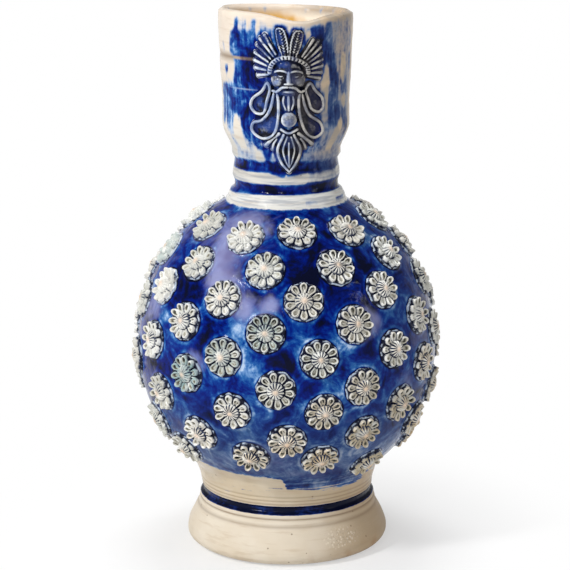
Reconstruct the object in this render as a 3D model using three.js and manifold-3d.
// Salt-glazed stoneware jug: a ball-shaped body on a turned foot, with a cylindrical neck, a pinched
// pouring lip, rows of sprigged rosettes on the belly, a bearded mask on the neck under the lip and
// a pulled strap handle behind.
// Millimetres, +Z up, origin at the middle of the foot's underside. The lip and the mask face -Y and
// the handle stands at +Y. Azimuths are degrees from the lip, positive towards +X.

import * as THREE from 'three';
import { mergeVertices } from 'three/addons/utils/BufferGeometryUtils.js';
import Module from 'manifold-3d';

// Foot
const footHeight = 26;
const footRadius = 51.9;
const footUndersideRadius = 43;
const footBulgeHeight = 6;
const footCollarRadius = 45.4;
const floorThickness = 11;

// Waist between foot and belly, with the turned groove that holds the lower blue band
const waistLength = 18.2;
const waistRadius = 44.3;
const waistSpread = 1.7;
const waistWall = 6.8;
const bandGrooveRise = 4.4;
const bandGrooveDepth = 1.1;
const bandGrooveBevel = 0.6;
const wellRounding = 16;
const wellFloorRadius = 26;

// Belly: two half ellipses that share the widest line
const bellyRadius = 76.5;
const bellyFootRadius = 48;
const bellyLowerAxis = 78;
const bellyUpperAxis = 82;
const bellyWall = 5.5;

// Neck, from its root on the belly up through the turned rings to the rim
const neckRootRadius = 30.4;
const cordonRadius = 28.8;
const cordonRise = 5.8;
const ringRadius = 27.1;
const ringRise = 6.8;
const grooveDepth = 1;
const lowerGrooveRise = 6;
const upperGrooveRise = 4.7;
const grooveBevel = 0.7;
const collarRadius = 27.5;
const collarRise = 4.1;
const swellRise = 13;
const swellFullness = 1.4;
const neckRadius = 32;
const neckRise = 12;
const rimRise = 44.9;
const rimRadius = 33.7;
const flareRise = 34;
const rimEdgeHeight = 2.6;
const rimWall = 3.8;
const neckWall = 4.4;
const throatWall = 4.2;

// Pouring lip, pressed out and down a little to the right of the mask. The rim stands lower behind
// and towards +X.
const lipAzimuth = 12;
const lipReach = 3;
const lipDip = 3.2;
const lipHalfAngle = 22;
const lipFade = 1.6;
const rimBackDrop = 1.8;
const rimTilt = 1;

// Rosettes, each sprigged onto the belly by hand and turned as it came
const rosetteRadius = 9.7;
const petalCount = 10;
const rosetteTwist = 2.3;
const bossHeight = 3.9;
const rosettePitchAngle = 37;
const separateRosettes = 57;
const topRowLift = 66;
const rowPitch = 13.7;

// Rows from the top one down: the azimuth of each rosette on the lip's side, and how far above its
// row it was laid by eye. Each row goes on around the back at an even pitch.
const rosetteRows = [
  { letter: 'a', front: [[-58, 0], [-25, -2], [7, 0.6], [41, -0.4], [79, 1]] },
  { letter: 'b', front: [[-81, -0.8], [-46, -1.2], [-10, -1.2], [24, -0.8], [59, 1.2], [90, 0.7]] },
  { letter: 'c', front: [[-62, -1.1], [-27, -1.1], [7, -1.1], [44, 0.4], [81, -1.6]] },
  { letter: 'd', front: [[-80, 1.6], [-43, -0.3], [-8, -1.8], [27, 0.6], [62, -2.3]] },
  { letter: 'e', front: [[-61, -0.2], [-24, -0.6], [12, -0.6], [44, -0.6], [78, 0.8]] },
  { letter: 'f', front: [[-80, -0.5], [-40, 2], [-4, -1.9], [29, -2.9], [63, 1.1]] },
  { letter: 'g', front: [[-56, 1.7], [-21, -0.3], [14, -0.3], [49, -2.3], [79, -2.3]] },
  { letter: 'h', front: [[-68, -3.1], [-38, -2], [0, -2], [32, -0.6], [66, -2.6]] },
  { letter: 'i', front: [[-53, -0.9], [-16, 1.6], [15, -0.3], [44, -7.9], [82, -2.3]] },
];

// A rosette's rings from the edge in: reach in hundredths of its radius, height over the belly, and
// how far round from the petals' middles, in petals
const rosetteRings = {
  tips: { reach: 100, height: 1.2, turned: 0 },
  notches: { reach: 87, height: 1.1, turned: 0.5 },
  crests: { reach: 86, height: 2.7, turned: 0 },
  dips: { reach: 77, height: 1.2, turned: 0.5 },
  hollows: { reach: 67, height: 1.6, turned: 0 },
  bossFoot: { reach: 47, height: 1.3, turned: 0 },
  bossShoulder: { reach: 36, height: 3.1, turned: 0 },
};

// Mask: a sprig of head, feather crown, curled beard and leaf drop, wrapped on the neck
const maskAzimuth = 2;
const maskTipAboveRoot = 18.3;
const maskHeight = 73.5;
const maskPadThickness = 1.1;
const maskColumns = 14;
const maskRows = 29;

// The mask's design, in hundredths of its height
const maskPart = maskHeight / 100;

// Half widths of its outline at heights above its lowest tip
const maskOutline = [
  [0, 1.2], [4.1, 5.4], [8.8, 8.8], [15, 8.7], [19.7, 16.3], [23.8, 21.2], [29.3, 23.9],
  [49, 24.2], [59.9, 22.6], [66.7, 21.5], [83.7, 21.5], [91.2, 12.2], [100, 9],
];

// Its raised forms: place across and above the tip, half sizes, and how far each stands up
const maskForms = [
  { across: 0, above: 66.7, halfWidth: 11.7, halfHeight: 14.7, stands: 7.3, mirrored: false },
  { across: 0, above: 64.6, halfWidth: 3.3, halfHeight: 7.5, stands: 10.3, mirrored: false },
  { across: 0, above: 37.4, halfWidth: 5.9, halfHeight: 6, stands: 7.1, mirrored: false },
  { across: 4.2, above: 89.8, halfWidth: 4.4, halfHeight: 11.7, stands: 4.1, mirrored: true },
  { across: 15.8, above: 77.6, halfWidth: 6.5, halfHeight: 12.9, stands: 3, mirrored: true },
  { across: 8.2, above: 51.7, halfWidth: 4.9, halfHeight: 9.5, stands: 5.4, mirrored: true },
  { across: 19, above: 48.3, halfWidth: 5, halfHeight: 10.3, stands: 4.6, mirrored: true },
  { across: 15, above: 32.7, halfWidth: 8.2, halfHeight: 8.2, stands: 4.9, mirrored: true },
  { across: 10.3, above: 21.2, halfWidth: 6, halfHeight: 4.6, stands: 3.3, mirrored: true },
  { across: 0, above: 12.2, halfWidth: 8.4, halfHeight: 12.8, stands: 4.4, mirrored: false },
];

// Strap handle, pulled and grooved along its outer face
const handleWidth = 27;
const handleTailWidth = 19;
const handleThickness = 9;
const handleTailThickness = 5;
const handleEdgeShare = 0.28;
const handleRibs = 3;
const handleGrooveDepth = 1.2;
const handleDropBelowRim = 27;
const handleRootDepth = 3;
const handleArch = 3.5;
const handleBend = 20;
const handleFingerRoom = 31;
const handleFootLift = 63;
const handleFootBow = 3.5;
const handleFootRise = 10;
const handleTailLift = 47.5;
const handleNarrowing = 1.5;
const handleThinning = 3;
const handleSteps = 24;

// Clearances between separate pieces
const seatGap = 0.3;
const rosetteSink = 0.8;
const rosetteToHandle = 1.5;

// Fineness of the round surfaces
const turnSegments = 40;
const bellySteps = 17;
const bellyInsideSteps = 8;
const footSteps = 4;
const waistSteps = 3;
const swellSteps = 3;
const rimEdgeSteps = 4;

// Heights that follow from the sizes above
const waistTop = footHeight + waistLength;
const equatorHeight = waistTop + bellyLowerAxis * Math.sqrt(1 - (bellyFootRadius / bellyRadius) ** 2);
const neckRootHeight = equatorHeight + bellyUpperAxis * Math.sqrt(1 - (neckRootRadius / bellyRadius) ** 2);
const cordonTop = neckRootHeight + cordonRise;
const lowerGrooveTop = cordonTop + lowerGrooveRise;
const ringTop = lowerGrooveTop + ringRise;
const upperGrooveTop = ringTop + upperGrooveRise;
const collarTop = upperGrooveTop + collarRise;
const swellTop = collarTop + swellRise;
const lipStart = swellTop + neckRise;
const rimHeight = lipStart + rimRise;

const radians = THREE.MathUtils.degToRad;
const fullTurn = 360;

// Profile helpers
const point = (radius, height) => new THREE.Vector2(radius, height);

// Points of a half ellipse from one height to another, by equal turns
function ellipseArc(radius, lowerAxis, upperAxis, fromHeight, toHeight, steps) {
  const turnAt = (height) => {
    const axis = height < equatorHeight ? lowerAxis : upperAxis;
    return Math.asin((height - equatorHeight) / axis);
  };
  const fromTurn = turnAt(fromHeight);
  const toTurn = turnAt(toHeight);
  const points = [];
  for (let step = 0; step <= steps; step += 1) {
    const turn = THREE.MathUtils.lerp(fromTurn, toTurn, step / steps);
    const axis = turn < 0 ? lowerAxis : upperAxis;
    points.push(point(radius * Math.cos(turn), equatorHeight + axis * Math.sin(turn)));
  }
  return points;
}

// Foot, from its underside round the rolled edge and up the hollow flare to the collar
function footProfile() {
  const points = [point(0, 0)];
  for (let step = 0; step <= footSteps; step += 1) {
    const turn = (Math.PI / 2) * (step / footSteps);
    const out = footUndersideRadius + (footRadius - footUndersideRadius) * Math.sin(turn);
    points.push(point(out, footBulgeHeight * (1 - Math.cos(turn))));
  }
  for (let step = 1; step <= footSteps; step += 1) {
    const share = step / footSteps;
    const draw = (1 - Math.cos(Math.PI * share)) / 2;
    const height = THREE.MathUtils.lerp(footBulgeHeight, footHeight, share);
    points.push(point(THREE.MathUtils.lerp(footRadius, footCollarRadius, draw), height));
  }
  return points;
}

// Waist, with the groove for the lower blue band just above the foot's collar
function waistProfile() {
  const grooveBottom = footHeight + bandGrooveBevel;
  const grooveTop = footHeight + bandGrooveRise;
  const grooveRadius = waistRadius - bandGrooveDepth;
  const points = [
    point(grooveRadius, grooveBottom + bandGrooveBevel),
    point(grooveRadius, grooveTop - bandGrooveBevel),
  ];
  for (let step = 0; step < waistSteps; step += 1) {
    const share = step / waistSteps;
    const out = THREE.MathUtils.lerp(waistRadius, bellyFootRadius, share ** waistSpread);
    points.push(point(out, THREE.MathUtils.lerp(grooveTop, waistTop, share)));
  }
  return points;
}

// Turned rings at the neck's root, the swell above them and the plain wall up to the lip's start
function neckProfile() {
  const grooveRadius = ringRadius - grooveDepth;
  const points = [
    point(cordonRadius, cordonTop),
    point(grooveRadius, cordonTop + grooveBevel),
    point(grooveRadius, lowerGrooveTop - grooveBevel),
    point(ringRadius, lowerGrooveTop),
    point(ringRadius, ringTop),
    point(grooveRadius, ringTop + grooveBevel),
    point(grooveRadius, upperGrooveTop - grooveBevel),
    point(collarRadius, upperGrooveTop),
  ];
  for (let step = 0; step <= swellSteps; step += 1) {
    const share = step / swellSteps;
    const swell = Math.sin((Math.PI / 2) * share) ** swellFullness;
    points.push(point(THREE.MathUtils.lerp(collarRadius, neckRadius, swell), collarTop + swellRise * share));
  }
  points.push(point(neckRadius, lipStart));
  return points;
}

// Wall of the rim: it flares a little and then stands straight
function flareProfile() {
  return [
    point((neckRadius + rimRadius) / 2, lipStart + flareRise / 2),
    point(rimRadius, lipStart + flareRise),
  ];
}

// Edge of the rim, rolled over from the outside to the inside
function rimEdgeProfile() {
  const points = [];
  for (let step = 0; step <= rimEdgeSteps; step += 1) {
    const turn = Math.PI * (step / rimEdgeSteps);
    const out = rimRadius - (rimWall / 2) * (1 - Math.cos(turn));
    points.push(point(out, rimHeight - rimEdgeHeight * (1 - Math.sin(turn))));
  }
  return points;
}

// Inside: bore, throat, belly, the well in the foot and the floor
function insideProfile() {
  const boreRadius = neckRadius - neckWall;
  const throatRadius = ringRadius - throatWall;
  const insideRadius = bellyRadius - bellyWall;
  const insideUpper = bellyUpperAxis - bellyWall;
  const insideLower = bellyLowerAxis - bellyWall;
  const wellRadius = waistRadius - waistWall;
  const throatBottom = equatorHeight + insideUpper * Math.sqrt(1 - (throatRadius / insideRadius) ** 2);
  const wellTop = equatorHeight - insideLower * Math.sqrt(1 - (wellRadius / insideRadius) ** 2);
  return [
    point(boreRadius, lipStart + flareRise / 2),
    point(boreRadius, swellTop),
    point(throatRadius, collarTop),
    ...ellipseArc(insideRadius, insideLower, insideUpper, throatBottom, wellTop, bellyInsideSteps),
    point(wellRadius, floorThickness + wellRounding),
    point(wellFloorRadius, floorThickness),
    point(0, floorThickness),
  ];
}

const outerProfile = [
  ...footProfile(),
  ...waistProfile(),
  ...ellipseArc(bellyRadius, bellyLowerAxis, bellyUpperAxis, waistTop, neckRootHeight, bellySteps),
  ...neckProfile(),
  ...flareProfile(),
  ...rimEdgeProfile(),
];

// Radius of the neck's outside at a height, before the lip is pressed
function neckRadiusAt(height) {
  const points = [...neckProfile(), ...flareProfile(), point(rimRadius, rimHeight)];
  for (let index = 1; index < points.length; index += 1) {
    const below = points[index - 1];
    const above = points[index];
    if (height <= above.y && height >= below.y && above.y > below.y) {
      return THREE.MathUtils.lerp(below.x, above.x, (height - below.y) / (above.y - below.y));
    }
  }
  return rimRadius;
}

// How far the pressed lip and the lower back move the wall at an azimuth in degrees and a height
function lipShift(azimuth, height) {
  const rise = THREE.MathUtils.clamp((height - lipStart) / rimRise, 0, 1) ** lipFade;
  const around = Math.exp(-(((azimuth - lipAzimuth) / lipHalfAngle) ** 2));
  const behind = ((1 - Math.cos(radians(azimuth))) / 2) ** 2;
  const tilt = rimTilt * Math.sin(radians(azimuth));
  return { out: lipReach * rise * around, down: rise * (lipDip * around + rimBackDrop * behind + tilt) };
}

// Solid helpers
const wasm = await Module();
wasm.setup();
const mergeDistance = 1e-4;

function toSolid(geometry) {
  const bare = geometry.clone();
  bare.deleteAttribute('normal');
  bare.deleteAttribute('uv');
  const merged = mergeVertices(bare, mergeDistance);
  return new wasm.Manifold(new wasm.Mesh({
    numProp: 3,
    vertProperties: new Float32Array(merged.attributes.position.array),
    triVerts: new Uint32Array(merged.index.array),
  }));
}

function toGeometry(solid) {
  const mesh = solid.getMesh();
  const geometry = new THREE.BufferGeometry();
  geometry.setAttribute('position', new THREE.BufferAttribute(new Float32Array(mesh.vertProperties), 3));
  geometry.setIndex(new THREE.BufferAttribute(new Uint32Array(mesh.triVerts), 1));
  return geometry;
}

function indexedGeometry(vertices, triangles) {
  const geometry = new THREE.BufferGeometry();
  const flat = vertices.flatMap((vertex) => [vertex.x, vertex.y, vertex.z]);
  geometry.setAttribute('position', new THREE.Float32BufferAttribute(flat, 3));
  geometry.setIndex(triangles);
  return geometry;
}

// A profile turned round the jug's axis, with its first points at the lip's azimuth
function turned(profile) {
  const geometry = new THREE.LatheGeometry(profile, turnSegments);
  geometry.rotateX(Math.PI / 2);
  return geometry;
}

// Turned body, with its lip pressed out and down
function bodyGeometry() {
  const geometry = turned([...outerProfile, ...insideProfile()]);
  const position = geometry.attributes.position;
  for (let index = 0; index < position.count; index += 1) {
    const x = position.getX(index);
    const y = position.getY(index);
    const z = position.getZ(index);
    const radius = Math.hypot(x, y);
    if (radius > 0 && z > lipStart) {
      const shift = lipShift(THREE.MathUtils.radToDeg(Math.atan2(x, -y)), z);
      const scale = (radius + shift.out) / radius;
      position.setXYZ(index, x * scale, y * scale, z - shift.down);
    }
  }
  return geometry;
}

// Point on the belly at an azimuth and a turn above the widest line, raised along its normal
function bellyPoint(azimuth, turn, raised) {
  const axis = turn < 0 ? bellyLowerAxis : bellyUpperAxis;
  const normal = new THREE.Vector2(Math.cos(turn) / bellyRadius, Math.sin(turn) / axis).normalize();
  const radius = bellyRadius * Math.cos(turn) + raised * normal.x;
  const height = equatorHeight + axis * Math.sin(turn) + raised * normal.y;
  return new THREE.Vector3(radius * Math.sin(azimuth), -radius * Math.cos(azimuth), height);
}

function turnOfLift(lift) {
  return Math.asin(lift / (lift < 0 ? bellyLowerAxis : bellyUpperAxis));
}

// One rosette laid on the belly: petals with raised outer ends and hollows, round a domed boss
function rosetteGeometry({ azimuth, lift, underside }) {
  const centreAzimuth = radians(azimuth);
  const centreTurn = turnOfLift(lift);
  const axis = lift < 0 ? bellyLowerAxis : bellyUpperAxis;
  const perTurn = Math.hypot(bellyRadius * Math.sin(centreTurn), axis * Math.cos(centreTurn));
  const laid = radians(azimuth * rosetteTwist);
  const place = (distance, direction, raised) => {
    const turn = centreTurn + (distance * Math.sin(direction)) / perTurn;
    const across = (distance * Math.cos(direction)) / (bellyRadius * Math.cos(turn));
    return bellyPoint(centreAzimuth + across, turn, raised);
  };
  const petalAngle = (2 * Math.PI) / petalCount;
  const vertices = [];
  const layRing = ({ reach, height, turned }) => {
    const first = vertices.length;
    for (let petal = 0; petal < petalCount; petal += 1) {
      vertices.push(place((rosetteRadius * reach) / 100, laid + (petal + turned) * petalAngle, height));
    }
    return first;
  };
  const under = layRing({ reach: rosetteRings.notches.reach, height: underside, turned: 0 });
  const tip = layRing(rosetteRings.tips);
  const notch = layRing(rosetteRings.notches);
  const crest = layRing(rosetteRings.crests);
  const dip = layRing(rosetteRings.dips);
  const hollow = layRing(rosetteRings.hollows);
  const foot = layRing(rosetteRings.bossFoot);
  const shoulder = layRing(rosetteRings.bossShoulder);
  const middle = vertices.push(place(0, 0, underside)) - 1;
  const apex = vertices.push(place(0, 0, bossHeight)) - 1;
  const triangles = [];
  for (let petal = 0; petal < petalCount; petal += 1) {
    const next = (petal + 1) % petalCount;
    triangles.push(middle, under + next, under + petal);
    triangles.push(under + petal, notch + petal, tip + petal);
    triangles.push(under + petal, under + next, notch + petal);
    triangles.push(under + next, tip + next, notch + petal);
    triangles.push(tip + petal, notch + petal, crest + petal);
    triangles.push(notch + petal, dip + petal, crest + petal);
    triangles.push(notch + petal, tip + next, crest + next);
    triangles.push(notch + petal, crest + next, dip + petal);
    triangles.push(crest + petal, dip + petal, hollow + petal);
    triangles.push(dip + petal, crest + next, hollow + next);
    triangles.push(dip + petal, hollow + next, hollow + petal);
    for (const [outer, inner] of [[hollow, foot], [foot, shoulder]]) {
      triangles.push(outer + petal, outer + next, inner + next);
      triangles.push(outer + petal, inner + next, inner + petal);
    }
    triangles.push(shoulder + petal, shoulder + next, apex);
  }
  return indexedGeometry(vertices, triangles);
}

// Strap handle's centre line, from inside the neck's wall out and down to its tail on the belly
function handlePath() {
  const top = rimHeight - handleDropBelowRim;
  const reach = neckRadius + handleFingerRoom + handleThickness / 2;
  const footTurn = turnOfLift(handleFootLift);
  const tailTurn = turnOfLift(handleTailLift);
  const foot = bellyPoint(Math.PI, footTurn, handleThickness / 2);
  const middle = bellyPoint(Math.PI, (footTurn + tailTurn) / 2, (handleThickness + handleTailThickness) / 4);
  const tail = bellyPoint(Math.PI, tailTurn, handleTailThickness / 2 - seatGap);
  return new THREE.CatmullRomCurve3([
    new THREE.Vector3(0, neckRadius - handleRootDepth, top - handleArch),
    new THREE.Vector3(0, neckRadius + handleThickness, top),
    new THREE.Vector3(0, reach - handleThickness, top - handleThickness / 2),
    new THREE.Vector3(0, reach, top - handleBend),
    new THREE.Vector3(0, reach, (top + foot.z) / 2),
    new THREE.Vector3(0, foot.y + handleFootBow, foot.z + handleFootRise),
    middle,
    tail,
  ], false, 'centripetal');
}

// Section of the strap: a flat inner face and an outer face of ribs with grooves between them
function handleSection(width, thickness) {
  const half = width / 2;
  const edge = thickness * handleEdgeShare;
  const flank = half - edge;
  const inner = -thickness / 2;
  const outer = thickness / 2;
  const points = [[-flank, inner], [flank, inner], [half, inner + edge], [half, outer - edge]];
  const faces = 2 * handleRibs - 2;
  for (let index = 0; index <= faces; index += 1) {
    const groove = index % 2 === 1 ? handleGrooveDepth : 0;
    points.push([flank * (1 - (2 * index) / faces), outer - groove]);
  }
  points.push([-half, outer - edge], [-half, inner + edge]);
  return points;
}

function handleGeometry() {
  const path = handlePath();
  const vertices = [];
  let sectionSize = 0;
  for (let step = 0; step <= handleSteps; step += 1) {
    const along = step / handleSteps;
    const centre = path.getPointAt(along);
    const tangent = path.getTangentAt(along);
    const outward = new THREE.Vector3(0, -tangent.z, tangent.y);
    const width = THREE.MathUtils.lerp(handleWidth, handleTailWidth, along ** handleNarrowing);
    const thickness = THREE.MathUtils.lerp(handleThickness, handleTailThickness, along ** handleThinning);
    const section = handleSection(width, thickness);
    sectionSize = section.length;
    for (const [across, out] of section) {
      vertices.push(centre.clone().add(new THREE.Vector3(across, 0, 0)).addScaledVector(outward, out));
    }
  }
  const triangles = [];
  for (let step = 0; step < handleSteps; step += 1) {
    for (let index = 0; index < sectionSize; index += 1) {
      const next = (index + 1) % sectionSize;
      const a = step * sectionSize + index;
      const b = step * sectionSize + next;
      triangles.push(a, a + sectionSize, b, b, a + sectionSize, b + sectionSize);
    }
  }
  const outline = handleSection(handleWidth, handleThickness).map(([x, y]) => new THREE.Vector2(x, y));
  const lastRing = handleSteps * sectionSize;
  for (const [a, b, c] of THREE.ShapeUtils.triangulateShape(outline, [])) {
    triangles.push(a, b, c, lastRing + a, lastRing + c, lastRing + b);
  }
  return indexedGeometry(vertices, triangles);
}

// Mask: half width of its outline, and how far its front stands up, at places in hundredths of its
// height
function maskHalfWidth(above) {
  for (let index = 1; index < maskOutline.length; index += 1) {
    const [lowAbove, lowWidth] = maskOutline[index - 1];
    const [highAbove, highWidth] = maskOutline[index];
    if (above <= highAbove) {
      return THREE.MathUtils.lerp(lowWidth, highWidth, (above - lowAbove) / (highAbove - lowAbove));
    }
  }
  return maskOutline[maskOutline.length - 1][1];
}

function maskRelief(across, above) {
  let stands = maskPadThickness;
  for (const form of maskForms) {
    const offset = form.mirrored ? Math.abs(across) - form.across : across - form.across;
    const inside = 1 - (offset / form.halfWidth) ** 2 - ((above - form.above) / form.halfHeight) ** 2;
    if (inside > 0) {
      stands = Math.max(stands, form.stands * maskPart * Math.sqrt(inside));
    }
  }
  return stands;
}

// A closed sheet wrapped on the neck: its back bears on the neck and its front carries the relief
function maskGeometry() {
  const tip = neckRootHeight + maskTipAboveRoot;
  const vertices = [];
  const place = (across, above, stands) => {
    const cover = Math.max(neckRadiusAt(tip + above), collarRadius) + seatGap;
    const azimuth = maskAzimuth + THREE.MathUtils.radToDeg(across / cover);
    const shift = lipShift(azimuth, tip + above);
    const radius = cover + shift.out + stands;
    const turn = radians(azimuth);
    return new THREE.Vector3(radius * Math.sin(turn), -radius * Math.cos(turn), tip + above - shift.down);
  };
  for (const front of [true, false]) {
    for (let row = 0; row < maskRows; row += 1) {
      const above = 100 * (row / (maskRows - 1));
      for (let column = 0; column < maskColumns; column += 1) {
        const across = maskHalfWidth(above) * ((2 * column) / (maskColumns - 1) - 1);
        const stands = front ? maskRelief(across, above) : 0;
        vertices.push(place(across * maskPart, above * maskPart, stands));
      }
    }
  }
  const back = maskRows * maskColumns;
  const at = (row, column) => row * maskColumns + column;
  const triangles = [];
  const quad = (a, b, c, d) => triangles.push(a, b, c, a, c, d);
  for (let row = 0; row + 1 < maskRows; row += 1) {
    for (let column = 0; column + 1 < maskColumns; column += 1) {
      const [a, b, c, d] = [at(row, column), at(row, column + 1), at(row + 1, column + 1), at(row + 1, column)];
      quad(a, b, c, d);
      quad(back + d, back + c, back + b, back + a);
    }
  }
  const rim = [];
  for (let column = 0; column + 1 < maskColumns; column += 1) {
    rim.push(at(0, column));
  }
  for (let row = 0; row + 1 < maskRows; row += 1) {
    rim.push(at(row, maskColumns - 1));
  }
  for (let column = maskColumns - 1; column > 0; column -= 1) {
    rim.push(at(maskRows - 1, column));
  }
  for (let row = maskRows - 1; row > 0; row -= 1) {
    rim.push(at(row, 0));
  }
  rim.forEach((vertex, index) => {
    const next = rim[(index + 1) % rim.length];
    quad(vertex, back + vertex, back + next, next);
  });
  return indexedGeometry(vertices, triangles);
}

// Every rosette's place: the front ones of each row as listed, then an even pitch round the back
function rosettePlaces() {
  const places = [];
  rosetteRows.forEach((row, down) => {
    const rowLift = topRowLift - down * rowPitch;
    const first = row.front[0][0];
    const last = row.front[row.front.length - 1][0];
    const gap = fullTurn - (last - first);
    const intervals = Math.round(gap / rosettePitchAngle);
    const spots = [...row.front];
    for (let index = 1; index < intervals; index += 1) {
      spots.push([last + (gap * index) / intervals, 0]);
    }
    spots.forEach(([azimuth, offset], index) => {
      const number = String(index + 1).padStart(2, '0');
      places.push({ name: `rosette_${row.letter}${number}`, azimuth, lift: rowLift + offset });
    });
  });
  return places.filter((place) => !underHandle(place));
}

// A rosette whose place the handle's lower end covers was never laid there
function underHandle({ azimuth, lift }) {
  const behind = Math.abs(azimuth - fullTurn / 2);
  const radius = bellyRadius * Math.cos(turnOfLift(lift));
  const reach = rosetteRadius + rosetteToHandle;
  const across = radius * radians(behind);
  return across < handleWidth / 2 + reach && lift + reach > handleTailLift;
}

// Materials
const cobaltGlaze = new THREE.MeshStandardMaterial({ color: 0x24408c, roughness: 0.22, metalness: 0 });
const creamClay = new THREE.MeshStandardMaterial({ color: 0xcdc5b0, roughness: 0.4, metalness: 0 });
const maskClay = new THREE.MeshStandardMaterial({ color: 0x8f94a0, roughness: 0.35, metalness: 0 });
const handleGlaze = new THREE.MeshStandardMaterial({ color: 0xb9b3a4, roughness: 0.35, metalness: 0 });

function mesh(name, geometry, material) {
  const result = new THREE.Mesh(geometry, material);
  result.name = name;
  return result;
}

// Assembly: the rosettes nearest the lip are pieces of their own, and those round the back are one
// with the body, as firing leaves them
const jug = new THREE.Group();
jug.name = 'stoneware_jug';

const places = rosettePlaces();
const fromLip = ({ azimuth }) => Math.min(Math.abs(azimuth), fullTurn - azimuth);
const nearestFirst = [...places].sort((a, b) => fromLip(a) - fromLip(b));
const separate = nearestFirst.slice(0, separateRosettes);
const joined = nearestFirst.slice(separateRosettes);

let body = toSolid(bodyGeometry());
for (const place of joined) {
  body = body.add(toSolid(rosetteGeometry({ ...place, underside: -rosetteSink })));
}
jug.add(mesh('thrown_body', toGeometry(body), cobaltGlaze));

const clearOfBody = outerProfile.map(({ x, y }) => point(x > 0 ? x + seatGap : 0, y));
const envelope = toSolid(turned([...clearOfBody, point(0, rimHeight)]));
const strap = toSolid(handleGeometry()).subtract(envelope);
jug.add(mesh('strap_handle', toGeometry(strap), handleGlaze));

jug.add(mesh('mask_relief', maskGeometry(), maskClay));

for (const place of separate) {
  jug.add(mesh(place.name, rosetteGeometry({ ...place, underside: seatGap }), creamClay));
}

export default jug;
